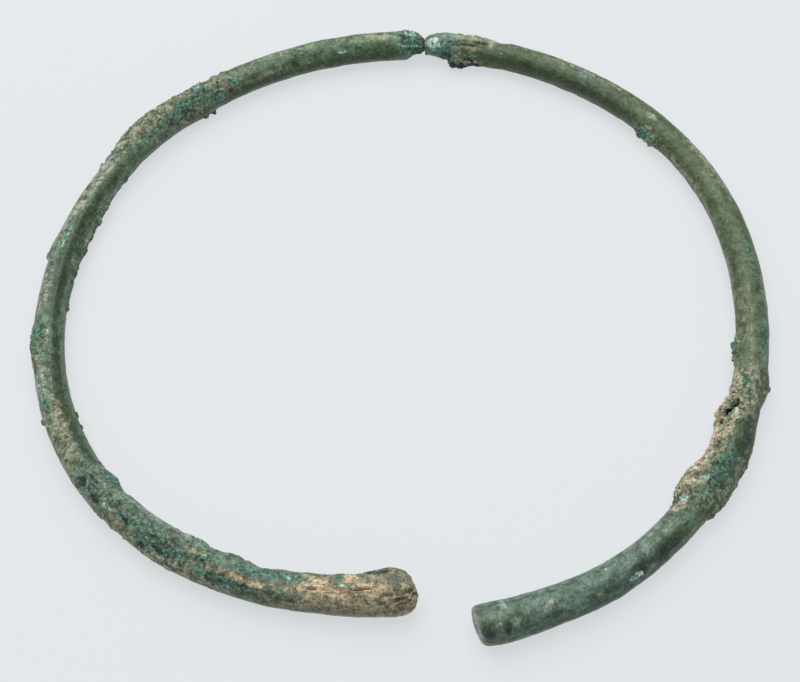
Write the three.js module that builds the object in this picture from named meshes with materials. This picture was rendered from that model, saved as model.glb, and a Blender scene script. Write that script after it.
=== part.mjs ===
// A plain bronze armlet: one round rod bent into an open ring, its two terminals left apart at the front.
// It is broken through at the back, so it lies flat as two fragments, crusted with corrosion.
// Millimetres, +Z up, resting on Z = 0 with the middle of the ring on the Z axis.

import * as THREE from "three";

// The break at the back of the ring on plan, and the clear gap between the two broken tips.
const BREAK_X = 3.25;
const BREAK_Y = 41.88;
const BREAK_GAP = 0.25;

// The rod's section and the spacing of its rings.
const SIDES = 16;
const RING_STEP = 1.2;
const TIP_RINGS = 4;
const RIM_RINGS = 4;

// How far back from a terminal its slanting cut is felt.
const SLANT_REACH = 4;

// Each fragment runs from the break to its terminal.
// bends: tangent arcs, each a radius and the degrees it turns through.
// thickness: places along the rod, each with the diameter there.
// tip: the length rounded off at the break. rim: the terminal's rounded edge. slant: how askew its end is.
// lumps: at, before and after are lengths along the rod. around and spread are degrees about it, counted
// from its outer side over its top. height is how far a lump stands proud or, below zero, how deep it is.
const LEFT = {
  name: "left_fragment",
  heading: 178.5,
  turn: 1,
  bends: [[48, 29], [42.5, 71], [34.5, 44], [38.5, 48.6]],
  thickness: [
    [0, 3.9], [20, 3.85], [30, 3.85], [45, 3.6], [65, 3.7], [85, 3.92], [100, 4.2], [125, 4.3], [134, 5],
  ],
  tip: 2.3,
  rim: 1.7,
  slant: -0.12,
  lumps: [
    { at: 1.2, before: 1.2, after: 1.6, around: 215, spread: 70, height: -0.65 },
    { at: 31.5, before: 1.5, after: 4, around: 200, spread: 45, height: 0.35 },
    { at: 34, before: 8, after: 8, around: 75, spread: 80, height: 0.3 },
    { at: 40.5, before: 8, after: 7.5, around: 15, spread: 80, height: 0.85 },
    { at: 40, before: 6, after: 6, around: 190, spread: 60, height: -0.2 },
    { at: 45, before: 6, after: 9, around: 190, spread: 70, height: -0.2 },
    { at: 59, before: 8, after: 8, around: 185, spread: 45, height: 0.25 },
    { at: 61.5, before: 2.5, after: 1.8, around: 0, spread: 45, height: 0.35 },
    { at: 66, before: 20, after: 22, around: 101, spread: 40, height: 0.2 },
    { at: 74, before: 3.5, after: 4, around: 5, spread: 60, height: 0.35 },
    { at: 96, before: 2.5, after: 1.6, around: 155, spread: 50, height: 0.35 },
    { at: 107, before: 6, after: 6, around: 350, spread: 60, height: 0.25 },
    { at: 110, before: 8, after: 1.5, around: 150, spread: 50, height: 0.35 },
    { at: 115.5, before: 3, after: 1.5, around: 150, spread: 50, height: 0.25 },
    { at: 133, before: 3, after: 2.5, around: 140, spread: 60, height: 0.15 },
    { at: 133, before: 8, after: 5, around: 340, spread: 75, height: 0.3 },
  ],
};

const RIGHT = {
  name: "right_fragment",
  heading: -3,
  turn: -1,
  bends: [[45, 34], [37.5, 40], [46.5, 44.7], [39, 50.2]],
  thickness: [
    [0, 3.75], [12, 3.6], [30, 3.7], [45, 3.8], [60, 4], [85, 4], [100, 4.05], [112, 4.3], [122, 4.7],
  ],
  tip: 1.4,
  rim: 0.6,
  slant: 0.19,
  lumps: [
    { at: 1.4, before: 2, after: 1.6, around: 215, spread: 70, height: -0.7 },
    { at: 4.2, before: 1.2, after: 4, around: 205, spread: 55, height: 0.5 },
    { at: 7.5, before: 6, after: 2, around: 60, spread: 60, height: 0.3 },
    { at: 34, before: 3, after: 3, around: 200, spread: 50, height: 0.5 },
    { at: 70, before: 2.7, after: 2, around: 180, spread: 45, height: 0.4 },
    { at: 75, before: 3, after: 2.5, around: 0, spread: 60, height: 0.5 },
    { at: 80, before: 3.2, after: 3.4, around: 170, spread: 62, height: 0.85 },
    { at: 84, before: 11, after: 10, around: 90, spread: 90, height: 0.4 },
    { at: 90.5, before: 4.8, after: 4, around: 165, spread: 75, height: 1.1 },
    { at: 88, before: 8, after: 6, around: 350, spread: 80, height: 0.75 },
  ],
};

const bronze = { color: 0x5f6c55, roughness: 0.65, metalness: 0.25 };
const crustedBronze = { color: 0x6f7763, roughness: 0.8, metalness: 0.15 };

const radians = THREE.MathUtils.degToRad;

function rodLength(bends) {
  return bends.reduce((sum, [radius, sweep]) => sum + radius * radians(sweep), 0);
}

// The rod's radius at a place along it, before any lump.
function radiusAt(thickness, along) {
  const next = thickness.findIndex(([place]) => place > along);
  if (next < 0) {
    return thickness.at(-1)[1] / 2;
  }
  const [fromPlace, fromDiameter] = thickness[Math.max(next - 1, 0)];
  const [toPlace, toDiameter] = thickness[next];
  return THREE.MathUtils.mapLinear(along, fromPlace, toPlace, fromDiameter, toDiameter) / 2;
}

// The straight rod's profile, from the broken tip, rounded by corrosion, to the terminal's rounded rim.
function rodProfile({ bends, thickness, tip, rim }) {
  const length = rodLength(bends);
  const profile = [new THREE.Vector2(0, 0)];
  for (let ring = 1; ring <= TIP_RINGS; ring += 1) {
    const share = ring / TIP_RINGS;
    const along = tip * share * share;
    profile.push(new THREE.Vector2(radiusAt(thickness, along) * share, along));
  }
  const plainRings = Math.ceil((length - rim - tip) / RING_STEP);
  for (let ring = 1; ring < plainRings; ring += 1) {
    const along = THREE.MathUtils.lerp(tip, length - rim, ring / plainRings);
    profile.push(new THREE.Vector2(radiusAt(thickness, along), along));
  }
  const endRadius = radiusAt(thickness, length);
  for (let ring = 0; ring <= RIM_RINGS; ring += 1) {
    const angle = (ring / RIM_RINGS) * (Math.PI / 2);
    const along = length - rim + rim * Math.sin(angle);
    profile.push(new THREE.Vector2(endRadius - rim + rim * Math.cos(angle), along));
  }
  profile.push(new THREE.Vector2(0, length));
  return profile;
}

// A smooth hump, 1 in its middle and 0 from its reach outwards.
function hump(distance, reach) {
  const share = Math.min(Math.abs(distance) / reach, 1);
  return (1 - share * share) ** 2;
}

function lumpHeight(lumps, along, around) {
  let height = 0;
  for (const lump of lumps) {
    const offset = along - lump.at;
    const lengthwise = hump(offset, offset < 0 ? lump.before : lump.after);
    const turned = THREE.MathUtils.euclideanModulo(around - lump.around + 180, 360) - 180;
    height += lump.height * lengthwise * hump(turned, lump.spread);
  }
  return height;
}

// The place on the bent centreline and the heading there, starting at the origin along +X.
// The last bend runs on past its end.
function placeAlong(bends, turn, along) {
  const place = { x: 0, y: 0, heading: 0 };
  const last = bends.length - 1;
  let left = along;
  for (const [index, [radius, sweep]] of bends.entries()) {
    const step = index === last ? left : Math.min(left, radius * radians(sweep));
    const heading = place.heading + (turn * step) / radius;
    place.x += turn * radius * (Math.sin(heading) - Math.sin(place.heading));
    place.y += turn * radius * (Math.cos(place.heading) - Math.cos(heading));
    place.heading = heading;
    left -= step;
  }
  return place;
}

// The rod is turned straight, crusted, and then bent on plan so that its underside runs flat along Z = 0.
function fragmentGeometry(fragment) {
  const { bends, turn, thickness, slant, lumps } = fragment;
  const length = rodLength(bends);
  const geometry = new THREE.LatheGeometry(rodProfile(fragment), SIDES, Math.PI / SIDES);
  const position = geometry.attributes.position;
  for (let index = 0; index < position.count; index += 1) {
    const along = position.getY(index);
    const radius = Math.hypot(position.getX(index), position.getZ(index));
    const angle = Math.atan2(position.getZ(index), turn * position.getX(index));
    const rodRadius = radiusAt(thickness, along);
    const crust = lumpHeight(lumps, along, THREE.MathUtils.radToDeg(angle)) * (radius / rodRadius);
    const outward = (radius + crust) * Math.cos(angle);
    const height = rodRadius * Math.cos(Math.PI / SIDES) + (radius + crust) * Math.sin(angle);
    const cut = slant * outward * THREE.MathUtils.smoothstep(along, length - SLANT_REACH, length);
    const place = placeAlong(bends, turn, along - cut);
    const x = place.x + turn * outward * Math.sin(place.heading);
    const y = place.y - turn * outward * Math.cos(place.heading);
    position.setXYZ(index, x, y, Math.max(height, 0));
  }
  geometry.computeVertexNormals();
  return geometry;
}

function makeFragment(fragment, finish) {
  const mesh = new THREE.Mesh(fragmentGeometry(fragment), new THREE.MeshStandardMaterial(finish));
  const heading = radians(fragment.heading);
  const setBack = BREAK_GAP / 2;
  mesh.name = fragment.name;
  mesh.position.set(BREAK_X + setBack * Math.cos(heading), BREAK_Y + setBack * Math.sin(heading), 0);
  mesh.rotation.z = heading;
  return mesh;
}

const armlet = new THREE.Group();
armlet.add(makeFragment(LEFT, crustedBronze), makeFragment(RIGHT, bronze));

export default armlet;
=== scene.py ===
# Broken bronze armlet, two fragments lying flat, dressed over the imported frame
import bpy
import math
import numpy as np
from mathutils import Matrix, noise


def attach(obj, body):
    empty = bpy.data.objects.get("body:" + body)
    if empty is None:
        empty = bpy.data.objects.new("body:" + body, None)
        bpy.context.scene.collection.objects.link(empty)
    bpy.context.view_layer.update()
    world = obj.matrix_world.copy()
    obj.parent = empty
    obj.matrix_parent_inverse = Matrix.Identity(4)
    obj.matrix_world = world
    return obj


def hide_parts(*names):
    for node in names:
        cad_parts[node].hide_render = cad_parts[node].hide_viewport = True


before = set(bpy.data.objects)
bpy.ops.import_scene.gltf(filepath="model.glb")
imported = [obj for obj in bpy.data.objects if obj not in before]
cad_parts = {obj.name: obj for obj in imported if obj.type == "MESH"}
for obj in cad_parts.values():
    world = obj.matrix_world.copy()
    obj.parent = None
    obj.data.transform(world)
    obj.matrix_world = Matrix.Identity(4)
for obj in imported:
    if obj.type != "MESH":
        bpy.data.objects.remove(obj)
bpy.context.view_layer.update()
mm = 0.001  # rods are modelled straight in millimetres, then scaled

# where the ring snapped, and how fine the rods are meshed
snap = {"x": 3.25, "y": 41.88, "gap": 0.12, "tipReach": -0.045}
fineness = {"sides": 92, "cuts": 31, "quickCuts": 7, "capRings": 6, "capDepth": 0.9}

# lumps: along, before, after, around, spread, height
# sway: along, how far the rod lies outside its bends there
# facets: from, to, around, how near the axis (in radii) the rod is flat there
# patches: along, around, half length, half spread, strength
# around counts in degrees from the outer side over the top, along in millimetres from the break
leftRod = {
    "piece": "leftHalf",
    "node": "left_fragment",
    "slot": "crusted_patina",
    "heading": 178.5,
    "turn": 1,
    "seed": 11.3,
    "bends": [(48, 29), (42.5, 71), (34.5, 44), (38.5, 48.6)],
    "sway": [(0, 0), (15, 0.1), (40, 0.1), (55, 0.22), (70, 0.22), (85, 0.16), (97, 0.2), (103, 0)],
    "thickness": [
        (0, 3.9), (20, 3.85), (30, 3.85), (45, 3.6), (65, 3.7), (85, 3.92), (100, 4.2), (125, 4.3),
        (134, 5),
    ],
    "tip": 2.3,
    "tipFace": 0.15,
    "rim": 1.7,
    "slant": -0.12,
    "skin": ((66, 88, 56), (86, 108, 84)),
    "earthTone": (186, 174, 146),
    "grit": 0.9,
    "streakDetail": 4,
    "lumps": [
        (1.2, 1.2, 1.6, 215, 70, -0.65),
        (1.0, 1.0, 2.0, 60, 70, 0.15),
        (31.5, 1.5, 4, 200, 45, 0.25),
        (34, 8, 8, 75, 80, 0.18),
        (40.5, 8, 7.5, 15, 80, 0.8),
        (40, 6, 6, 190, 60, -0.3),
        (45, 6, 9, 190, 70, -0.2),
        (57, 6, 6, 185, 45, 0.2),
        (61.9, 5, 0.8, 0, 45, 0.4),
        (66, 20, 22, 101, 40, 0.2),
        (74, 3.5, 4, 5, 60, 0.35),
        (96, 2, 1.4, 155, 50, 0.3),
        (98.2, 1, 1, 160, 40, -0.25),
        (110.2, 8, 1.5, 150, 50, 0.25),
        (107, 6, 6, 350, 60, 0.2),
        (115, 3, 1.2, 150, 50, 0.15),
        (117.8, 1.2, 2.5, 150, 50, -0.3),
        (124, 2, 6, 150, 50, 0.2),
        (128, 1.5, 1.5, 150, 40, 0.15),
        (132.5, 3, 2.5, 140, 60, 0.05),
        (133, 8, 5, 340, 75, 0.25),
    ],
    "facets": [(44, 65, 70, 0.92), (65, 92, 77, 0.95)],
    "rough": [
        (1.5, 90, 2, 120, 0.6), (37, 70, 9, 60, 1), (30, 110, 3, 50, 0.7), (41, 30, 6, 60, 1),
        (36, 140, 5, 40, 0.6), (58, 188, 10, 20, 0.6), (59, 70, 3, 30, 0.4), (75, 60, 4, 50, 0.6),
        (87, 70, 8, 40, 0.6), (96, 140, 3, 30, 0.5), (106, 62, 14, 60, 0.6), (113, 150, 5, 30, 0.4),
        (119, 90, 7, 70, 0.4), (130, 90, 7, 60, 0.4), (134.5, 45, 3, 60, 0.5), (134, 120, 2.5, 60, 0.3),
        (134.5, 225, 3, 130, 0.4),
    ],
    "earth": [
        (8.2, 150, 0.6, 8, 0.4), (28.8, 102, 0.7, 12, 0.6), (33, 88, 0.8, 10, 0.5),
        (30.5, 105, 2.5, 30, 0.2), (38, 62, 6, 28, 0.3), (41.5, 50, 4, 30, 0.3), (39, 92, 1.4, 5, 0.4),
        (42, 88, 1, 12, 0.5), (63, 140, 1.2, 14, 0.3), (74.2, 95, 1.4, 6, 0.55),
        (78.2, 65, 1.2, 18, 0.3), (82, 85, 1, 12, 0.4), (88, 78, 4.5, 20, 0.3),
        (89.5, 72, 1.5, 12, 0.4), (85, 94, 7, 5, 0.4), (110, 98, 2, 8, 0.6), (112.5, 66, 1, 14, 0.5),
        (97.5, 76, 0.8, 10, 0.4), (101, 44, 1.2, 14, 0.45), (104.5, 55, 0.9, 10, 0.5),
        (108.6, 46, 1.2, 12, 0.45), (115.5, 76, 1.5, 10, 0.35), (118.5, 66, 0.9, 8, 0.8),
        (120.6, 86, 0.8, 12, 0.5), (117, 80, 6, 20, 0.2), (124, 130, 1.4, 25, 0.4),
        (127.5, 85, 4.5, 18, 0.95), (125, 100, 2.5, 18, 0.6), (129, 115, 1, 20, 0.9),
        (131, 85, 2, 14, 0.9), (129, 62, 6, 14, 0.4), (133, 70, 4, 30, 0.3), (135.4, 26, 0.6, 12, 0.6),
    ],
    "teal": [
        (1.5, 105, 2, 45, 0.8), (1.5, 155, 2, 30, 0.7), (8.6, 112, 0.8, 14, 0.5),
        (11.2, 132, 1.1, 8, 0.7), (17.7, 92, 1.5, 14, 0.5), (18.5, 115, 0.7, 7, 0.6),
        (27, 122, 0.8, 25, 0.6), (29.5, 142, 1, 25, 0.8), (31.8, 84, 1.3, 24, 1),
        (34.3, 112, 2, 26, 0.7), (30.6, 128, 1.4, 22, 0.5), (37, 118, 2.2, 22, 0.5),
        (41, 106, 2.6, 8, 0.6), (43, 100, 1, 8, 0.9), (38, 130, 6, 30, 0.2), (53, 157, 1.2, 12, 0.6),
        (59.2, 80, 1.9, 14, 0.8), (46, 55, 2, 25, 0.4), (54, 100, 3, 12, 0.3),
        (73.3, 60, 1.8, 25, 0.85), (76.8, 87, 0.9, 12, 0.6), (74, 35, 3, 20, 0.5),
        (73, 145, 5, 22, 0.3), (83, 45, 2, 20, 0.65), (93, 80, 0.8, 14, 0.6), (94.3, 50, 1.2, 20, 0.9),
        (96.8, 50, 1.2, 20, 0.9), (96.5, 140, 2.2, 25, 0.8), (99, 85, 1.5, 14, 0.6),
        (101.5, 70, 1.4, 14, 0.9), (106, 62, 4, 28, 0.85), (109, 68, 1.6, 16, 0.8),
        (103, 110, 4, 20, 0.4), (111.5, 88, 0.8, 8, 0.8), (104, 70, 12, 40, 0.2), (114, 50, 3, 20, 0.7),
        (118, 40, 3, 18, 0.3), (121.3, 112, 2, 20, 0.95), (117.5, 105, 3, 16, 0.7),
        (127.6, 128, 0.7, 25, 0.9), (130.1, 140, 0.5, 28, 0.7), (127.8, 96, 1.6, 8, 0.9),
        (113, 100, 0.8, 6, 0.7),
    ],
    "mint": [
        (1.8, 130, 1.1, 7, 0.6), (2, 75, 0.9, 18, 0.65), (0.8, 110, 0.6, 10, 0.4),
        (11.2, 132, 0.8, 5, 0.55), (31.8, 75, 0.8, 10, 0.4), (43, 104, 0.7, 5, 0.5),
        (49, 90, 2, 4, 0.3), (58.7, 84, 0.8, 7, 0.55), (60.7, 82, 0.5, 5, 0.7), (66, 76, 1.4, 5, 0.3),
        (77.4, 88, 0.9, 8, 0.3), (81.5, 45, 1.5, 12, 0.4), (98.7, 60, 0.7, 8, 0.55),
        (121.7, 106, 0.8, 6, 0.45), (128.3, 93, 1.3, 6, 0.8),
    ],
    "umber": [
        (131, 60, 8.5, 130, 1), (126, 15, 8, 50, 0.8), (136.8, 90, 2, 400, 0.8), (107, 12, 12, 25, 0.4),
        (85, 20, 8, 20, 0.2), (117, 72, 4, 16, 0.6), (22, 140, 5, 10, 0.4),
    ],
    "cool": [
        (104, 110, 18, 85, 0.65), (76, 110, 8, 60, 0.5), (62, 120, 8, 50, 0.4), (80, 50, 10, 40, 0.5),
        (1, 90, 3, 200, 0.8), (36, 122, 9, 34, 0.7), (66, 55, 7, 45, 0.6), (119, 100, 4, 60, 0.7),
    ],
    # pale patina, with painted highlights along the ridges and painted light on sides that the lamp leaves
    # dim
    "palePatinaAndHighlight": [
        (7, 80, 5, 26, 0.4), (18, 76, 9, 18, 0.35), (16, 72, 12, 12, 0.4), (26, 95, 3, 22, 0.4),
        (50, 90, 5, 8, 0.9), (50, 54, 8, 16, 0.6), (57, 40, 8, 20, 0.4), (67, 42, 6, 36, 0.7),
        (84, 48, 10, 36, 0.85), (77.5, 88, 1.3, 9, 0.6), (100, 115, 8, 30, 0.25),
        (110, 120, 6, 30, 0.35), (95, 25, 8, 20, 0.5), (107, 14, 10, 16, 0.6), (104, 55, 8, 40, 0.75),
        (104, 88, 8, 16, 0.4), (40, 50, 6, 36, 0.3),
    ],
    # grey patina, with painted sheen: highlights along the ridge and reflections on the inner sides
    "greyPatinaAndSheen": [
        (51, 78, 6.5, 17, 0.6), (57, 70, 3, 20, 0.5), (66, 74, 3, 14, 0.3), (80, 35, 5, 20, 0.4),
        (105, 150, 8, 25, 0.4), (56, 172, 12, 14, 0.3),
    ],
    # dark patina, with painted shade on the sides turned from the light and on the undersides
    "darkPatinaAndShade": [
        (10, 171, 9, 20, 0.9), (23, 170, 7, 20, 0.9), (39, 165, 8, 22, 0.7), (53, 120, 9, 24, 0.8),
        (67, 118, 7, 24, 0.95), (77, 122, 8, 22, 0.8), (84, 113, 9, 24, 0.95), (89, 120, 6, 24, 0.7),
        (117, 35, 4, 22, 0.2), (125, 8, 9, 20, 0.5), (134, 110, 2.5, 45, 0.6), (68, 255, 90, 60, 0.7),
    ],
    # dark spots of patina; at the broken tip and along the flaked top edge near the terminal, painted
    # shadow
    "darkMarksAndShade": [
        (0.2, 80, 0.4, 110, 0.6), (38.5, 92, 0.6, 5, 0.7), (41.9, 80, 0.7, 5, 0.6),
        (55.2, 80, 0.8, 6, 0.7), (56.5, 72, 0.8, 6, 0.6), (95.2, 88, 0.8, 7, 1), (94.2, 52, 0.8, 16, 1),
        (96.8, 46, 0.9, 16, 1), (101.5, 68, 0.9, 9, 0.9), (111.2, 84, 0.7, 7, 1),
        (105.5, 72, 0.8, 9, 0.8), (113.6, 47, 1.2, 14, 0.6), (117, 50, 0.8, 12, 0.8),
        (117.5, 30, 0.6, 9, 0.8), (120, 52, 0.7, 8, 1), (104.5, 32, 0.7, 10, 0.8),
        (106.5, 48, 0.9, 10, 0.9), (108.5, 62, 0.6, 6, 0.8), (107.8, 74, 0.7, 7, 0.5),
        (31.6, 203, 1.2, 12, 0.7), (131.3, 142, 0.9, 9, 0.8), (130.6, 152, 2.2, 9, 0.9),
        (133.9, 97, 1.3, 22, 0.5), (59, 186, 7, 12, 0.5), (135, 38, 0.35, 6, 0.7),
        (134.4, 54, 0.35, 6, 0.6), (134.5, 20, 0.6, 12, 0.6), (132, 50, 0.5, 8, 0.6),
        (129.5, 45, 0.5, 6, 0.5), (99.2, 80, 0.8, 6, 0.5), (122.5, 40, 0.6, 10, 0.7),
    ],
    "rust": [(27.9, 142, 0.7, 9, 0.9), (26.5, 146, 0.2, 3, 0.7)],
    "crevices": [
        (126.5, 84, 3.4, 2.2, 0.6), (130.3, 81, 1.6, 2.2, 0.6), (128, 75, 2.5, 1.8, 0.4),
        (132.5, 134, 1.3, 3, 0.9), (133, 60, 0.6, 4, 0.35), (134.2, 46, 0.7, 4, 0.4),
        (135.2, 62, 0.4, 5, 0.35), (134.6, 31, 0.5, 4, 0.35), (132.3, 39, 0.4, 4, 0.35),
        (135.7, 46, 0.3, 8, 0.4),
    ],
    "flakes": [
        (1.3, 85, 1.4, 40, 0.5), (132.3, 147, 1.6, 10, 0.8), (110, 152, 1.4, 9, 0.4),
        (115.5, 150, 1.5, 9, 0.4),
    ],
    "spurs": [
        (61.7, 3, 0.4, 12, 0.2), (84.5, 0, 0.4, 7, 0.6), (31.1, 204, 0.35, 6, 0.8),
        (32.4, 200, 0.45, 7, 0.6), (47.5, 188, 0.4, 8, 0.4), (52.6, 186, 0.4, 8, 0.3),
        (55, 186, 0.5, 8, 0.4), (57.6, 188, 0.4, 8, 0.3), (60, 186, 0.5, 8, 0.4),
        (62.6, 184, 0.4, 8, 0.3), (65, 182, 0.5, 8, 0.15), (69, 184, 0.4, 6, 0.5),
        (85, 176, 0.4, 7, 0.4), (87, 172, 0.4, 7, 0.4),
    ],
}

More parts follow.
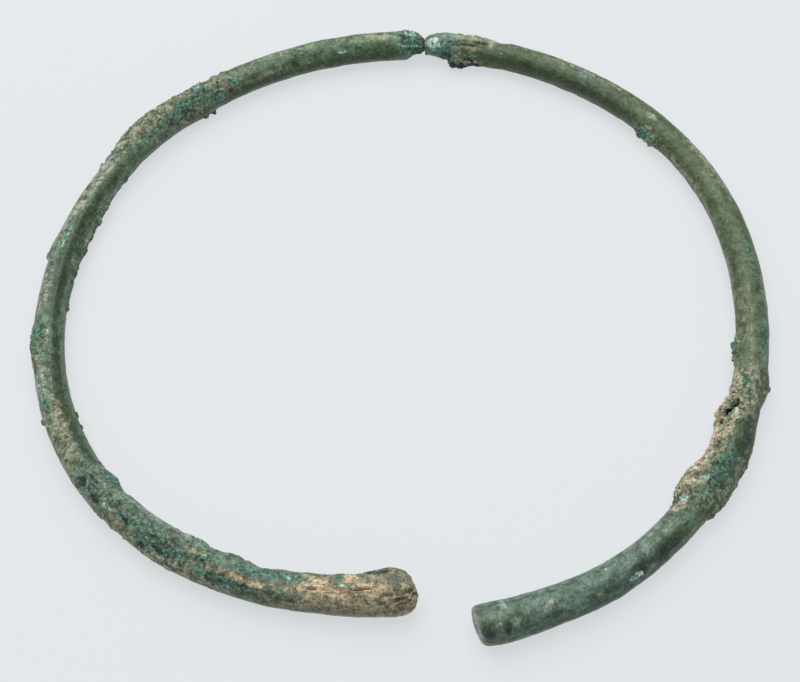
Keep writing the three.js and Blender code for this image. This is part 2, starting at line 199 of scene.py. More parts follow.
rightRod = {
    "piece": "rightHalf",
    "node": "right_fragment",
    "slot": "smooth_patina",
    "heading": -3,
    "turn": -1,
    "seed": 47.9,
    "bends": [(45, 34), (37.5, 40), (46.5, 44.7), (39, 50.2)],
    "sway": [
        (0, 0), (15, 0.16), (45, 0.2), (62, 0.12), (72, 0.22), (82, 0.1), (94, -0.04), (104, -0.15),
        (114, -0.32), (124, -0.22),
    ],
    "thickness": [
        (0, 3.75), (12, 3.6), (30, 3.7), (45, 3.8), (60, 4), (85, 4), (100, 4.05), (112, 4.3),
        (122, 4.7),
    ],
    "tip": 1.4,
    "tipFace": 0.5,
    "rim": 0.6,
    "slant": 0.19,
    "skin": ((66, 82, 48), (82, 98, 70)),
    "earthTone": (198, 189, 164),
    "grit": 0.72,
    "streakDetail": 2,
    "lumps": [
        (1.4, 2, 1.7, 215, 70, -0.7),
        (0.6, 0.8, 2, 45, 60, -0.2),
        (3.1, 0.9, 0.6, 208, 45, -0.3),
        (3.9, 0.6, 4.2, 205, 55, 0.5),
        (7.5, 6, 2, 60, 60, 0.1),
        (9.8, 0.9, 1.6, 45, 50, -0.2),
        (9, 2, 2.5, 200, 50, 0.15),
        (34.4, 2.5, 2.8, 200, 50, 0.3),
        (70.2, 2.5, 1.8, 180, 45, 0.25),
        (75, 3, 3, 0, 60, 0.5),
        (80, 2.8, 3.2, 170, 60, 0.65),
        (82.5, 5, 5, 10, 60, 0.3),
        (84, 11, 10, 90, 90, 0.35),
        (90.5, 4.5, 4, 165, 75, 0.95),
        (87, 8, 6, 350, 80, 0.65),
        (92.7, 6, 0.7, 352, 65, 0.4),
        (93, 2.5, 1.8, 165, 60, 0.3),
        (108, 6, 6, 0, 70, 0.1),
        (116, 12, 10, 150, 90, 0.2),
        (120.5, 3, 3, 0, 70, 0.2),
        (123.5, 1.5, 1, 170, 60, -0.15),
    ],
    "facets": [],
    "rough": [
        (2, 110, 2.5, 120, 0.35), (5, 185, 3, 40, 0.8), (34, 180, 2.5, 35, 0.8),
        (70.5, 175, 2, 30, 0.8), (77, 105, 4, 75, 0.8), (82, 150, 5, 50, 1), (89, 135, 6, 80, 1),
        (88, 5, 5, 50, 0.65),
    ],
    "earth": [
        (6.5, 130, 1.6, 12, 0.3), (4, 155, 0.7, 7, 0.3), (33.7, 138, 1.1, 12, 0.45),
        (76, 146, 2.6, 30, 0.85), (81.5, 107, 1.6, 11, 0.8), (80, 168, 3.5, 20, 1),
        (79.5, 155, 2, 20, 0.8), (83.5, 146, 2, 20, 0.8), (86.5, 148, 2.2, 28, 0.95),
        (90, 140, 4.5, 34, 0.85), (86, 175, 6, 24, 1), (93.8, 128, 1.4, 20, 0.6),
        (83.5, 112, 2, 10, 0.4), (95, 130, 1, 28, 0.45), (77, 48, 1.2, 14, 0.3), (78, 78, 1.5, 14, 0.4),
        (92, 60, 3, 30, 0.3), (114.7, 84, 0.8, 14, 0.4), (115.5, 72, 0.6, 9, 0.35),
    ],
    "teal": [
        (2.2, 130, 1.8, 36, 0.7), (6.5, 152, 0.8, 8, 0.6), (33.4, 172, 0.9, 18, 0.9),
        (35.8, 145, 0.9, 10, 0.7), (46, 62, 1.5, 14, 0.4), (57, 72, 5, 14, 0.42), (61, 66, 2, 11, 0.5),
        (69, 50, 4.5, 26, 0.4), (70.7, 168, 1.4, 18, 0.7), (75.8, 106, 1.5, 9, 0.9),
        (77.2, 82, 1.2, 10, 0.7), (88, 78, 3.6, 22, 0.8), (90, 104, 4, 26, 0.4),
        (93.6, 135, 0.6, 14, 0.9),
    ],
    "mint": [
        (1, 115, 1.1, 24, 0.85), (8.9, 72, 0.4, 18, 0.35), (10.6, 120, 0.3, 4, 0.7),
        (73.8, 85, 1.4, 30, 0.25), (76, 70, 1, 10, 0.3), (104.6, 42, 1, 10, 0.9),
        (107.2, 112, 0.25, 4, 0.6), (105.9, 112, 0.2, 3, 0.4), (120.4, 125, 0.6, 30, 0.35),
        (121.4, 70, 0.5, 20, 0.4), (90.2, 105, 0.8, 10, 0.4), (93.6, 127, 0.6, 16, 0.5),
    ],
    "umber": [
        (82.5, 50, 3, 28, 0.3), (90, 20, 6, 40, 0.15), (85, 160, 8, 30, 0.45), (6, 125, 3, 16, 0.4),
        (98, 25, 6, 14, 0.4), (111, 15, 10, 14, 0.25), (109.3, 50, 0.8, 11, 0.6), (66, 135, 7, 28, 0.4),
        (76, 45, 2.5, 20, 0.35),
    ],
    "cool": [
        (110, 90, 16, 300, 1), (87, 50, 9, 45, 0.5), (66, 45, 9, 25, 0.5), (1.5, 110, 3.5, 200, 0.8),
        (33, 165, 3, 30, 0.6), (22.2, 80, 1.3, 40, 1),
    ],
    # pale patina, with painted highlights along the rod and painted light on the crust's dim inner side
    "palePatinaAndHighlight": [
        (5, 75, 3.8, 22, 0.8), (8.7, 65, 0.6, 40, 1), (20, 70, 10, 15, 0.5), (33.2, 92, 1, 14, 0.8),
        (43, 62, 7, 26, 0.4), (62, 38, 6, 10, 0.4), (66, 102, 7, 7, 0.35), (99, 100, 5, 4, 0.3),
        (44, 170, 9, 24, 0.5), (58, 174, 8, 20, 0.4), (113, 164, 8, 18, 0.5),
        (119.2, 55, 0.45, 30, 0.9), (121.3, 58, 0.45, 24, 0.9), (113, 75, 6, 12, 0.3),
        (84, 160, 10, 30, 0.8),
    ],
    # grey patina, with painted sheen on the inner side, and the shaded end face painted lighter
    "greyPatinaAndSheen": [
        (100, 140, 6, 25, 0.3), (73.6, 85, 1.6, 40, 0.4), (123.7, 90, 0.6, 400, 0.7),
        (90, 120, 5, 30, 0.3), (43, 50, 7, 20, 0.3),
    ],
    # dark patina, with painted shade on the sides turned from the light and on the undersides
    "darkPatinaAndShade": [
        (20, 154, 13, 26, 0.9), (22, 115, 10, 20, 0.4), (48, 142, 20, 18, 0.25), (57, 135, 7, 12, 0.3),
        (65, 150, 6, 20, 0.3), (82, 52, 3, 26, 0.8), (84, 58, 1.4, 22, 0.8), (84, 25, 10, 40, 0.8),
        (62, 255, 80, 60, 0.7), (89, 70, 4, 24, 0.5), (99.5, 56, 3.6, 27, 1), (103.8, 56, 1.8, 26, 1),
        (109, 45, 4, 16, 0.5), (117, 38, 6, 22, 0.45), (120.3, 50, 0.6, 26, 0.8),
        (122.6, 45, 0.8, 40, 0.7), (118, 40, 0.8, 22, 0.5), (110, 14, 14, 18, 0.6),
        (113, 117, 8, 14, 0.3),
    ],
    # dark spots of patina; at the broken tip, painted shadow where the halves meet
    "darkMarksAndShade": [
        (0.15, 100, 0.3, 110, 0.5), (3, 160, 1.5, 14, 0.7), (4.7, 187, 1.2, 12, 0.9),
        (4.4, 202, 1.7, 22, 1.2), (6.4, 198, 1.6, 16, 1.1), (78.5, 80, 1, 10, 0.5),
        (77, 42, 2.6, 22, 0.45), (84, 50, 0.8, 14, 0.6), (6, 110, 2, 3, 0.6), (99.5, 68, 3.4, 20, 0.35),
        (103.8, 66, 1.6, 20, 0.35), (88, 76, 1, 8, 0.5), (90.5, 88, 0.8, 7, 0.5),
        (107.5, 52, 1.5, 10, 0.4), (109.3, 59, 0.7, 4, 0.7), (110, 49, 0.35, 9, 0.7),
        (108.6, 50, 0.35, 9, 0.6), (104.6, 41, 0.35, 4, 0.9), (122.8, 45, 0.7, 20, 0.6),
    ],
    "rust": [(4.6, 155, 0.3, 5, 0.6)],
    "crevices": [
        (78.8, 117, 0.7, 8, 1), (79.6, 129, 0.8, 9, 1), (80.2, 137, 0.7, 8, 1),
        (81.8, 150, 0.45, 12, 0.9), (6.1, 171, 0.8, 4, 0.9), (4.4, 117, 0.7, 2.5, 0.4),
        (5.6, 109, 0.9, 2.5, 0.6), (7.2, 95, 1, 2.5, 0.6), (8.2, 90, 0.6, 2.5, 0.5),
    ],
    "flakes": [(5.4, 75, 3.8, 24, 0.5), (5, 200, 1.4, 26, 0.9)],
    "spurs": [
        (75, 2, 0.4, 8, 0.4), (69.5, 184, 0.4, 7, 0.4), (71.5, 180, 0.4, 6, 0.4),
        (33, 197, 0.4, 6, 0.4), (35, 194, 0.4, 6, 0.4), (77.4, 185, 0.4, 7, 0.5),
        (80, 182, 0.4, 7, 0.4), (92.6, 0, 0.3, 14, 0.3), (85.5, 2, 0.4, 8, 0.3), (88, 0, 0.4, 8, 0.35),
        (90.6, 2, 0.4, 8, 0.3),
    ],
}


def onlySelect(piece):
    bpy.ops.object.select_all(action="DESELECT")
    piece.select_set(True)
    bpy.context.view_layer.objects.active = piece


def smoothStep(low, high, value):
    share = np.clip((value - low) / (high - low), 0, 1)
    return share * share * (3 - 2 * share)


def hump(offset, reach):
    share = np.clip(np.abs(offset) / reach, 0, 1)
    return (1 - share * share) ** 2


def turnedFrom(around, about):
    return (around - about + 180) % 360 - 180


def cloudNoise(places, size, depth, shift):
    scaled = (places / size + shift).tolist()
    return np.array([noise.fractal(place, 1.0, 2.0, depth) for place in scaled])


# grains of crust: how near each point is to its grain's middle, and two chance tints for the grain
def grainCells(places, size, shift):
    near = np.zeros(len(places))
    tints = np.zeros((len(places), 2))
    for index, place in enumerate((places / size + shift).tolist()):
        distances, middles = noise.voronoi(place)
        near[index] = distances[0]
        tints[index] = noise.cell_vector(middles[0] * 7.3)[:2]  # scaled so that neighbours differ
    return near, tints


def rodLength(rod):
    return sum(radius * math.radians(sweep) for radius, sweep in rod["bends"])


def rodRadius(rod, along):
    places, diameters = zip(*rod["thickness"])
    return np.interp(along, places, diameters) / 2


# a straight unit rod along X, cut into many rings, with ringed ends
def straightRod(rod):
    wall = rodLength(rod) - rod["rim"] + rod["rim"] * math.pi / 2
    cuts = fineness["cuts"]
    bpy.ops.object.select_all(action="DESELECT")
    bpy.ops.mesh.primitive_cylinder_add(
        vertices=fineness["sides"], radius=1, depth=wall, end_fill_type="NGON",
        location=(wall / 2, 0, 0), rotation=(0, math.pi / 2, 0))
    piece = bpy.context.active_object
    piece.name = rod["piece"]
    bpy.ops.object.transform_apply(location=True, rotation=True, scale=True)
    bpy.ops.object.mode_set(mode="EDIT")
    bpy.ops.mesh.select_mode(type="EDGE")
    for _ in range(2):
        selectLongEdges(piece)
        bpy.ops.mesh.subdivide(number_cuts=cuts)
    bpy.ops.mesh.select_mode(type="FACE")
    selectCaps(piece)
    for _ in range(fineness["capRings"]):
        bpy.ops.mesh.inset(thickness=fineness["capDepth"] / fineness["capRings"], use_boundary=True)
    bpy.ops.mesh.poke()
    bpy.ops.object.mode_set(mode="OBJECT")
    return piece


def selectLongEdges(piece):
    bpy.ops.mesh.select_all(action="DESELECT")
    bpy.ops.object.mode_set(mode="OBJECT")
    for edge in piece.data.edges:
        start, end = (piece.data.vertices[index].co for index in edge.vertices)
        edge.select = abs(start.x - end.x) > 1e-4
    bpy.ops.object.mode_set(mode="EDIT")


def selectCaps(piece):
    bpy.ops.mesh.select_all(action="DESELECT")
    bpy.ops.object.mode_set(mode="OBJECT")
    for face in piece.data.polygons:
        face.select = abs(face.normal.x) > 0.9
    bpy.ops.object.mode_set(mode="EDIT")


# each point's place along the rod, its angle about it and its radius, with the eroded tip and rounded rim
def rodPlaces(piece, rod):
    flat = np.zeros(len(piece.data.vertices) * 3)
    piece.data.vertices.foreach_get("co", flat)
    across = flat.reshape(-1, 3)
    length = rodLength(rod)
    step = np.maximum(across[:, 0], 0)
    tipShare = np.clip(step / rod["tip"], 0, 1)
    along = np.where(step < rod["tip"], step * tipShare, step)
    rimAngle = np.clip((step - (length - rod["rim"])) / rod["rim"], 0, math.pi / 2)
    along = np.where(rimAngle > 0, length - rod["rim"] + rod["rim"] * np.sin(rimAngle), along)
    tipShare = rod["tipFace"] + (1 - rod["tipFace"]) * tipShare
    radius = (rodRadius(rod, along) - rod["rim"] * (1 - np.cos(rimAngle))) * tipShare
    radius = radius * np.hypot(across[:, 1], across[:, 2])
    around = np.degrees(np.arctan2(across[:, 2], -rod["turn"] * across[:, 1])) % 360
    return along, around, radius


def lumpHeight(rod, along, around):
    height = np.zeros(len(along))
    for at, before, after, about, spread, high in rod["lumps"]:
        offset = along - at
        reach = np.where(offset < 0, before, after)
        height += high * hump(offset, reach) * hump(turnedFrom(around, about), spread)
    return height


# how gently a facet begins and ends, in millimetres, and how far round it is felt, as a cosine
facetEdge = {"fade": 2, "side": 0.2}


# worn flat along one side
def planeFacets(rod, along, around, radius):
    for start, end, about, level in rod["facets"]:
        turned = np.radians(turnedFrom(around, about))
        flat = rodRadius(rod, along) * level / np.maximum(np.cos(turned), facetEdge["side"])
        fade = facetEdge["fade"]
        share = smoothStep(start - fade, start + fade, along) * smoothStep(end + fade, end - fade, along)
        radius = radius + share * np.minimum(flat - radius, 0)
    return radius


def setPlaces(piece, places):
    piece.data.vertices.foreach_set("co", places.ravel())
    piece.data.update()


def rodPoints(rod, along, around, radius):
    outward = radius * np.cos(np.radians(around))
    return np.column_stack([along, -rod["turn"] * outward, radius * np.sin(np.radians(around))])


# one ragged mask for each kind of patch
def patchMask(patches, along, around, ragged, outer=1.25, inner=0.65):
    mask = np.zeros(len(along))
    for at, about, halfLength, halfSpread, strength in patches:
        far = np.hypot((along - at) / halfLength, turnedFrom(around, about) / halfSpread)
        mask = np.maximum(mask, strength * smoothStep(outer, inner, far + ragged))
    return mask


faintest = 0.004  # weaker than this, a mask raises nothing


# a mask is kept twice: for the material and for the relief
def keepMask(piece, name, mask):
    piece.data.attributes.new(name, "FLOAT", "POINT").data.foreach_set("value", mask.astype(np.float32))
    group = piece.vertex_groups.new(name=name)
    for index in np.flatnonzero(mask > faintest).tolist():
        group.add([index], float(mask[index]), "REPLACE")


def raiseBy(piece, group, height):
    onlySelect(piece)
    displace = piece.modifiers.new("raise", "DISPLACE")
    displace.strength = height
    displace.mid_level = 0
    displace.vertex_group = group
    bpy.ops.object.modifier_apply(modifier=displace.name)


# degrees to a piece of the path, degrees past its end, and steps within a piece
bending = {"step": 12, "runOn": 6, "resolution": 48}


# the rod's plan as a bezier path of tangent arcs, in short pieces
def bendPath(rod):
    bpy.ops.object.select_all(action="DESELECT")
    bpy.ops.curve.primitive_bezier_curve_add(enter_editmode=False)
    path = bpy.context.active_object
    path.data.dimensions = "3D"
    path.data.twist_mode = "Z_UP"
    path.data.resolution_u = bending["resolution"]
    heading = math.radians(rod["heading"])
    x = snap["x"] + math.cos(heading) * snap["gap"] / 2
    y = snap["y"] + math.sin(heading) * snap["gap"] / 2
    stops = [[x, y, heading, 0, 0]]
    runOn = (rod["bends"][-1][0], bending["runOn"])  # carries the slanted end
    for radius, sweep in rod["bends"] + [runOn]:
        pieces = math.ceil(sweep / bending["step"])
        turn = rod["turn"] * math.radians(sweep) / pieces
        handle = 4 / 3 * math.tan(abs(turn) / 4) * radius
        for _ in range(pieces):
            stops[-1][4] = handle
            x += rod["turn"] * radius * (math.sin(heading + turn) - math.sin(heading))
            y += rod["turn"] * radius * (math.cos(heading) - math.cos(heading + turn))
            heading += turn
            stops.append([x, y, heading, handle, handle])
    points = path.data.splines[0].bezier_points
    points.add(len(stops) - len(points))
    for point, (x, y, heading, back, ahead) in zip(points, stops):
        point.handle_left_type = point.handle_right_type = "FREE"
        point.co = (x, y, 0)
        point.handle_left = (x - back * math.cos(heading), y - back * math.sin(heading), 0)
        point.handle_right = (x + ahead * math.cos(heading), y + ahead * math.sin(heading), 0)
    return path


def bendRod(piece, rod):
    path = bendPath(rod)
    onlySelect(piece)
    bend = piece.modifiers.new("bend", "CURVE")
    bend.object = path
    bend.deform_axis = "POS_X"
    bpy.ops.object.modifier_apply(modifier=bend.name)
    bpy.data.objects.remove(path)


# the crust: sizes and heights in millimetres, the heights in the order they are raised
corrosion = {
    "room": 0.09,  # taken off first, so that the relief ends near the rod's size
    "patches": ("rough", "earth", "teal", "mint", "darkMarksAndShade", "rust", "crevices", "flakes", "spurs"),
    "stainsAndPaintedLight": ("cool", "umber", "palePatinaAndHighlight", "greyPatinaAndSheen", "darkPatinaAndShade"),
    "raggedSize": 0.9,
    "ragged": 0.5,
    "softRagged": 0.6,  # stains and painted light fray less than patches and fade more softly
    "softEdge": (1.5, 0.3),
    "cloudSize": 0.8,
    "cloudStretch": (0.7, 1, 1),
    "cloudContrast": 0.55,
    "grainSize": 0.36,
    "grainTop": 1.1,
    "grainFall": 1.3,
    "swellSize": 2.4,
    "cloudShare": 0.55,  # of the relief, beside the grains
    "grainShare": 0.45,
    "earthRough": 0.6,  # how crusted earth and teal are of themselves
    "tealRough": 0.5,
    "streakStretch": (0.35, 1, 1),  # draws streaks out along the rod
    "heights": {
        "swell": 0.12, "relief": 0.07, "crust": 0.44, "flakes": 0.3, "spurs": 0.5, "darkMarksAndShade": -0.05,
        "crevices": -0.9,
    },
    "slantReach": 4,  # how far back from a terminal its slanting cut is felt
    "restLevel": math.cos(math.pi / 16),  # in radii, above the flat strip that the rod lies on
}


def makeRod(rod):
    piece = straightRod(rod)
    length = rodLength(rod)
    along, around, radius = rodPlaces(piece, rod)
    plain = rodRadius(rod, along)
    radius = radius + lumpHeight(rod, along, around) * radius / plain
    radius = planeFacets(rod, along, around, radius) - corrosion["room"] * radius / plain
    places = rodPoints(rod, along, around, radius)
    setPlaces(piece, places)
    ragged = corrosion["ragged"] * cloudNoise(places, corrosion["raggedSize"], 4, rod["seed"])
    masks = {}
    for kind in corrosion["patches"]:
        masks[kind] = patchMask(rod[kind], along, around, ragged)
        keepMask(piece, kind, masks[kind])
    for kind in corrosion["stainsAndPaintedLight"]:
        softRagged = corrosion["softRagged"] * ragged
        keepMask(piece, kind, patchMask(rod[kind], along, around, softRagged, *corrosion["softEdge"]))
    clouds = cloudNoise(places * corrosion["cloudStretch"], corrosion["cloudSize"], 4, rod["seed"] + 5)
    clouds = np.clip(0.5 + corrosion["cloudContrast"] * clouds, 0, 1)
    near, tints = grainCells(places, corrosion["grainSize"], rod["seed"])
    grains = np.clip(corrosion["grainTop"] - corrosion["grainFall"] * near, 0, 1)
    relief = corrosion["cloudShare"] * clouds + corrosion["grainShare"] * grains
    patchy = corrosion["earthRough"] * masks["earth"] + corrosion["tealRough"] * masks["teal"]
    rough = np.clip(np.maximum(masks["rough"], patchy), 0, 1)
    keepMask(piece, "relief", relief)
    keepMask(piece, "crust", rough * relief)
    keepMask(piece, "tintA", tints[:, 0])
    keepMask(piece, "tintB", tints[:, 1])
    swell = cloudNoise(places, corrosion["swellSize"], 3, rod["seed"] + 9)
    keepMask(piece, "swell", np.clip(0.5 + 0.5 * swell, 0, 1))
    streaks = piece.data.attributes.new("streaks", "FLOAT_VECTOR", "POINT")
    drawnOut = places * corrosion["streakStretch"]
    streaks.data.foreach_set("vector", drawnOut.astype(np.float32).ravel())
    print("rod shaped:", rod["piece"], len(piece.data.polygons), "faces")
    for group, height in corrosion["heights"].items():
        raiseBy(piece, group, height)
    flat = np.zeros(len(piece.data.vertices) * 3)
    piece.data.vertices.foreach_get("co", flat)
    places = flat.reshape(-1, 3)
    places[:, 0] = np.maximum(places[:, 0], snap["tipReach"])  # just clear of the other half
    slanted = smoothStep(length - corrosion["slantReach"], length, along)
    places[:, 0] += rod["slant"] * rod["turn"] * places[:, 1] * slanted
    places[:, 1] -= rod["turn"] * np.interp(along, *zip(*rod["sway"]))
    places[:, 2] = np.maximum(places[:, 2] + plain * corrosion["restLevel"], 0)
    setPlaces(piece, places)
    bendRod(piece, rod)
    onlySelect(piece)
    bpy.ops.transform.resize(value=(mm, mm, mm), center_override=(0, 0, 0))
    bpy.ops.object.transform_apply(location=True, rotation=True, scale=True)
    bpy.ops.object.shade_smooth()
    print("rod bent:", rod["piece"])
    return piece


def linear(colour):
    shares = [channel / 255 for channel in colour]
    curved = [share / 12.92 if share <= 0.04045 else ((share + 0.055) / 1.055) ** 2.4 for share in shares]
    return (*curved, 1)


# short ways to lay shader nodes
def addNode(tree, kind, **inputs):
    made = tree.nodes.new(kind)
    for name, value in inputs.items():
        socket = made.inputs[name]
        if hasattr(value, "is_output"):
            tree.links.new(value, socket)
        else:
            socket.default_value = value
    return made


def noiseFactor(tree, where, scale, detail=4, rough=0.6):
    made = addNode(tree, "ShaderNodeTexNoise", Vector=where, Scale=scale, Detail=detail, Roughness=rough)
    return made.outputs["Fac"]


def stretch(tree, value, low, high, toLow=0.0, toHigh=1.0):
    made = tree.nodes.new("ShaderNodeMapRange")
    made.interpolation_type = "SMOOTHSTEP"
    tree.links.new(value, made.inputs["Value"])
    made.inputs["From Min"].default_value = low
    made.inputs["From Max"].default_value = high
    made.inputs["To Min"].default_value = toLow
    made.inputs["To Max"].default_value = toHigh
    return made.outputs["Result"]


def maths(tree, operation, first, second):
    made = tree.nodes.new("ShaderNodeMath")
    made.operation = operation
    for socket, value in zip(made.inputs, (first, second)):
        if hasattr(value, "is_output"):
            tree.links.new(value, socket)
        else:
            socket.default_value = value
    return made.outputs[0]


def blendColours(tree, factor, first, second):
    made = tree.nodes.new("ShaderNodeMix")
    made.data_type = "RGBA"
    for socket, value in ((made.inputs[0], factor), (made.inputs[6], first), (made.inputs[7], second)):
        if hasattr(value, "is_output"):
            tree.links.new(value, socket)
        else:
            socket.default_value = value
    return made.outputs[2]


def maskValue(tree, name):
    mask = tree.nodes.new("ShaderNodeAttribute")
    mask.attribute_name = name
    return mask.outputs["Fac"]


def maskFactor(tree, name, fray, low=0.2, high=0.8):
    return stretch(tree, maths(tree, "MULTIPLY", maskValue(tree, name), fray), low, high)


# frays a mask by noise and, in the crust, by whole grains
def fraying(tree, noisy, tint, crusted):
    grainy = maths(tree, "MULTIPLY", stretch(tree, maskValue(tree, tint), 0, 1, -0.35, 0.35), crusted)
    return maths(tree, "ADD", stretch(tree, noisy, 0.35, 0.65, 0.55, 1.45), grainy)


patina = {
    "buff": (144, 146, 118),
    "darkPatinaAndShadeGreen": (52, 63, 43),
    "darkPatinaAndShadeCool": (34, 48, 40),
    "greyGreen": (106, 122, 96),
    "cool": (74, 98, 82),
    "coolPale": (112, 132, 116),
    "umber": (134, 126, 102),
    "umberPale": (184, 172, 145),
    "crust": (158, 158, 134),
    "greyPatinaAndSheen": (152, 154, 146),
    "ochre": (214, 188, 152),
    "brown": (128, 118, 92),
    "teal": (62, 98, 84),
    "brightTeal": (98, 133, 114),
    "mint": (164, 196, 180),
    "hollowShadeAndDirt": (66, 74, 56),
    "hollowShadeAndDirtBrown": (96, 82, 62),
    "darkTeal": (32, 52, 46),
    # near black of the cut cracks: painted shade in them
    "darkMarksAndShade": (20, 26, 22),
    "rust": (98, 50, 42),
}

# how fine each noise of the patina is, to the metre, and of the streaks, to the millimetre
speckle = {
    "broad": 230,
    "mottle": 800,
    "blotch": 1150,
    "grain": 2400,
    "fine": 4600,
    "streaky": 0.9,
    "streakier": 1.7,
}

# the bump is in metres
sheen = {"specular": 0.35, "bump": 0.0002, "smooth": 0.4, "crusted": 0.85}


def patinaMaterial(rod):
    material = bpy.data.materials.new(rod["piece"] + "Patina")
    material.use_nodes = True
    tree = material.node_tree
    shader = tree.nodes["Principled BSDF"]
    where = tree.nodes.new("ShaderNodeTexCoord").outputs["Object"]
    lengthwise = tree.nodes.new("ShaderNodeAttribute")
    lengthwise.attribute_name = "streaks"
    lengthwise = lengthwise.outputs["Vector"]
    broad = noiseFactor(tree, where, speckle["broad"], 3)
    streaky = noiseFactor(tree, lengthwise, speckle["streaky"], rod["streakDetail"])
    streakier = noiseFactor(tree, lengthwise, speckle["streakier"], rod["streakDetail"])
    mottle = noiseFactor(tree, where, speckle["mottle"], 5, 0.65)
    blotch = noiseFactor(tree, where, speckle["blotch"], 5, 0.65)
    grain = noiseFactor(tree, where, speckle["grain"], 4, 0.7)
    fine = noiseFactor(tree, where, speckle["fine"], 3, 0.7)
    tone = {key: linear(value) for key, value in patina.items()}
    olive, greyGreen = [linear(colour) for colour in rod["skin"]]
    crusted = stretch(tree, maths(tree, "ADD", maskValue(tree, "rough"), mottle), 0.75, 1.15)
    frayA = fraying(tree, mottle, "tintA", crusted)
    frayB = fraying(tree, blotch, "tintB", crusted)
    cool = blendColours(tree, stretch(tree, streakier, 0.35, 0.65, 0, 0.6), tone["cool"], tone["coolPale"])
    colour = blendColours(tree, stretch(tree, broad, 0.35, 0.65), olive, greyGreen)
    cooled = maskFactor(tree, "cool", frayA, 0.1, 0.9)
    colour = blendColours(tree, cooled, colour, cool)
    browned = maskFactor(tree, "umber", frayB, 0.1, 0.9)
    colour = blendColours(tree, browned, colour, tone["umber"])
    # pale patina and painted highlight, from buff towards cool pale where the cool stain lies
    palePatinaAndHighlight = blendColours(tree, cooled, tone["buff"], tone["coolPale"])
    colour = blendColours(tree, maskFactor(tree, "palePatinaAndHighlight", frayB, 0, 1.1), colour, palePatinaAndHighlight)
    # grey patina and painted sheen
    colour = blendColours(tree, maskFactor(tree, "greyPatinaAndSheen", frayB, 0, 1.1), colour, tone["greyPatinaAndSheen"])
    # dark patina and painted shade; the same colour also lays random dark streaks along the rod
    darkPatinaAndShade = blendColours(tree, cooled, tone["darkPatinaAndShadeGreen"], tone["darkPatinaAndShadeCool"])
    colour = blendColours(tree, maskFactor(tree, "darkPatinaAndShade", frayA, 0, 1.1), colour, darkPatinaAndShade)
    colour = blendColours(tree, stretch(tree, streaky, 0.5, 0.75, 0, 0.7), colour, darkPatinaAndShade)
    colour = blendColours(tree, stretch(tree, streakier, 0.55, 0.8, 0, 0.2), colour, palePatinaAndHighlight)
    crustDark = blendColours(tree, cooled, tone["greyGreen"], tone["cool"])
    crustPale = blendColours(tree, cooled, tone["crust"], tone["coolPale"])
    crustDark = blendColours(tree, browned, crustDark, tone["umber"])
    crustPale = blendColours(tree, browned, crustPale, tone["umberPale"])
    crust = blendColours(tree, stretch(tree, maskValue(tree, "tintA"), 0.1, 0.8), crustDark, crustPale)
    colour = blendColours(tree, maths(tree, "MULTIPLY", crusted, 0.75), colour, crust)
    earth = blendColours(tree, browned, linear(rod["earthTone"]), tone["ochre"])
    earth = blendColours(tree, stretch(tree, grain, 0.4, 0.65), earth, tone["brown"])
    teal = blendColours(tree, stretch(tree, grain, 0.42, 0.65), tone["teal"], tone["brightTeal"])
    colour = blendColours(tree, maskFactor(tree, "earth", frayA), colour, earth)
    colour = blendColours(tree, maskFactor(tree, "teal", frayB), colour, teal)
    colour = blendColours(tree, maskFactor(tree, "mint", frayB, 0.25, 0.9), colour, tone["mint"])
    # low in the crust relief the colour darkens: painted shade between the grains, with some dirt
    sunk = stretch(tree, maskValue(tree, "relief"), 0.45, 0.2, 0, 0.8)
    hollowShadeAndDirt = blendColours(tree, browned, tone["hollowShadeAndDirt"], tone["hollowShadeAndDirtBrown"])
    colour = blendColours(tree, maths(tree, "MULTIPLY", sunk, crusted), colour, hollowShadeAndDirt)
    # dark spots of patina, and painted shadow at the broken tips and under the flaked edge
    colour = blendColours(tree, maskFactor(tree, "darkMarksAndShade", frayB, 0.3, 1), colour, tone["darkTeal"])
    colour = blendColours(tree, maskFactor(tree, "rust", frayB), colour, tone["rust"])
    # the cut cracks are painted near black: painted shade in them
    colour = blendColours(tree, maskFactor(tree, "crevices", frayB), colour, tone["darkMarksAndShade"])
    # brightness varies at random with the noises, and is darker where the bump's grain and fine noise are
    # low: partly painted shade in its pits
    shade = addNode(tree, "ShaderNodeHueSaturation", Color=colour)
    uneven = maths(tree, "ADD", grain, fine)
    blotched = maths(tree, "ADD", uneven, maths(tree, "ADD", mottle, blotch))
    tree.links.new(stretch(tree, blotched, 1.65, 2.35, 0.35, 1.75), shade.inputs["Value"])
    tree.links.new(stretch(tree, crusted, 0, 1, rod["grit"], 1), shade.inputs["Fac"])
    tree.links.new(shade.outputs["Color"], shader.inputs["Base Color"])
    roughness = stretch(tree, crusted, 0, 1, sheen["smooth"], sheen["crusted"])
    tree.links.new(roughness, shader.inputs["Roughness"])
    shader.inputs["Specular IOR Level"].default_value = sheen["specular"]
    bump = addNode(tree, "ShaderNodeBump", Height=uneven, Distance=sheen["bump"])
    tree.links.new(stretch(tree, crusted, 0, 1, 0.2, 1), bump.inputs["Strength"])
    tree.links.new(bump.outputs["Normal"], shader.inputs["Normal"])
    return material


# sizes and places are in metres unless named otherwise, angles in degrees
studio = {
    "aimMm": (-0.15, -4.32, 1.95),
    "distanceMm": 220.7,
    "tilt": 60,
    "lens": 81,
    "sensor": 36,
    "clip": 0.01,
    "floorSize": 3,
    "floor": (104, 106, 107),
    "floorGlow": (248, 252, 255),
    "glowStrength": 0.63,
    "floorRoughness": 0.9,
    "sky": (236, 240, 244),
    "skyStrength": 0.45,
    "softboxSize": 0.8,
    "softboxWatts": 5.9,
    "softboxPlace": (-0.1, 0.28, 0.6),
}


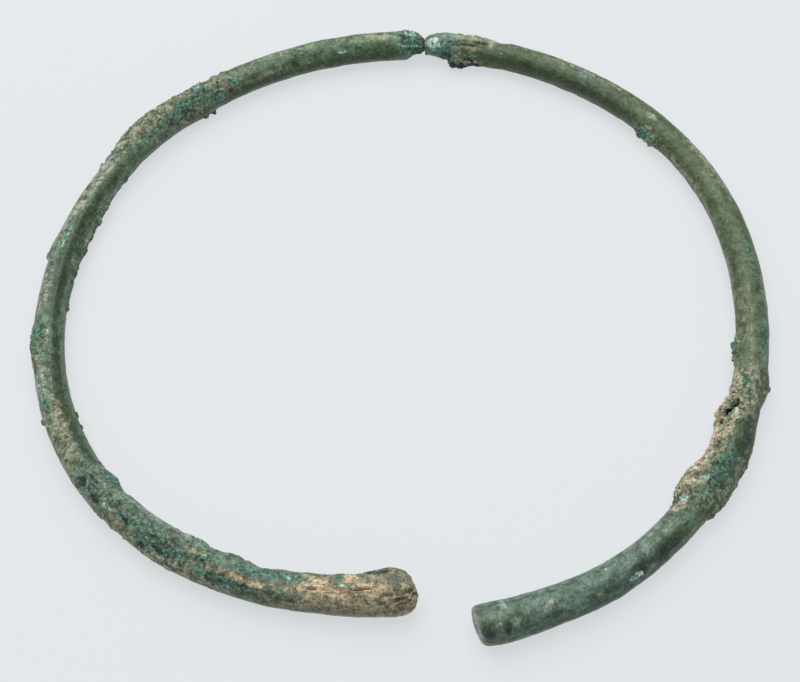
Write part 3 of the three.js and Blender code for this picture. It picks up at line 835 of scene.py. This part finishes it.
def makeFloor():
    bpy.ops.object.select_all(action="DESELECT")
    bpy.ops.mesh.primitive_plane_add(size=studio["floorSize"], location=(0, 0, 0))
    floor = bpy.context.active_object
    floor.name = "floor"
    material = bpy.data.materials.new("paleFloor")
    material.use_nodes = True
    shader = material.node_tree.nodes["Principled BSDF"]
    shader.inputs["Base Color"].default_value = linear(studio["floor"])
    shader.inputs["Emission Color"].default_value = linear(studio["floorGlow"])
    shader.inputs["Emission Strength"].default_value = studio["glowStrength"]
    shader.inputs["Roughness"].default_value = studio["floorRoughness"]
    floor.data.materials.append(material)


# a square softbox turned to the middle of the ring
def addSoftbox():
    x, y, z = studio["softboxPlace"]
    bpy.ops.object.light_add(type="AREA", location=(x, y, z))
    light = bpy.context.active_object
    light.name = "softbox"
    light.data.shape = "SQUARE"
    light.data.size = studio["softboxSize"]
    light.data.energy = studio["softboxWatts"]
    light.rotation_euler = (math.atan2(math.hypot(x, y), z), 0, math.atan2(y, x) + math.pi / 2)


def makeStudio():
    world = bpy.data.worlds.new("softWhite")
    bpy.context.scene.world = world
    world.use_nodes = True
    back = world.node_tree.nodes["Background"]
    back.inputs["Color"].default_value = linear(studio["sky"])
    back.inputs["Strength"].default_value = studio["skyStrength"]
    addSoftbox()
    aim = [value * mm for value in studio["aimMm"]]
    reach = studio["distanceMm"] * mm
    tilt = math.radians(studio["tilt"])
    place = (aim[0], aim[1] - reach * math.cos(tilt), aim[2] + reach * math.sin(tilt))
    bpy.ops.object.camera_add(location=place, rotation=(math.pi / 2 - tilt, 0, 0))
    camera = bpy.context.active_object
    camera.data.lens = studio["lens"]
    camera.data.sensor_width = studio["sensor"]
    camera.data.clip_start = studio["clip"]
    bpy.context.scene.camera = camera
    bpy.context.scene.view_settings.view_transform = "Standard"


makeFloor()
makeStudio()
print("studio ready")
for rod in (leftRod, rightRod):
    half = makeRod(rod)
    half.data.materials.append(patinaMaterial(rod))
    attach(half, "root")
    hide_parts(rod["node"])
print("both halves dressed")
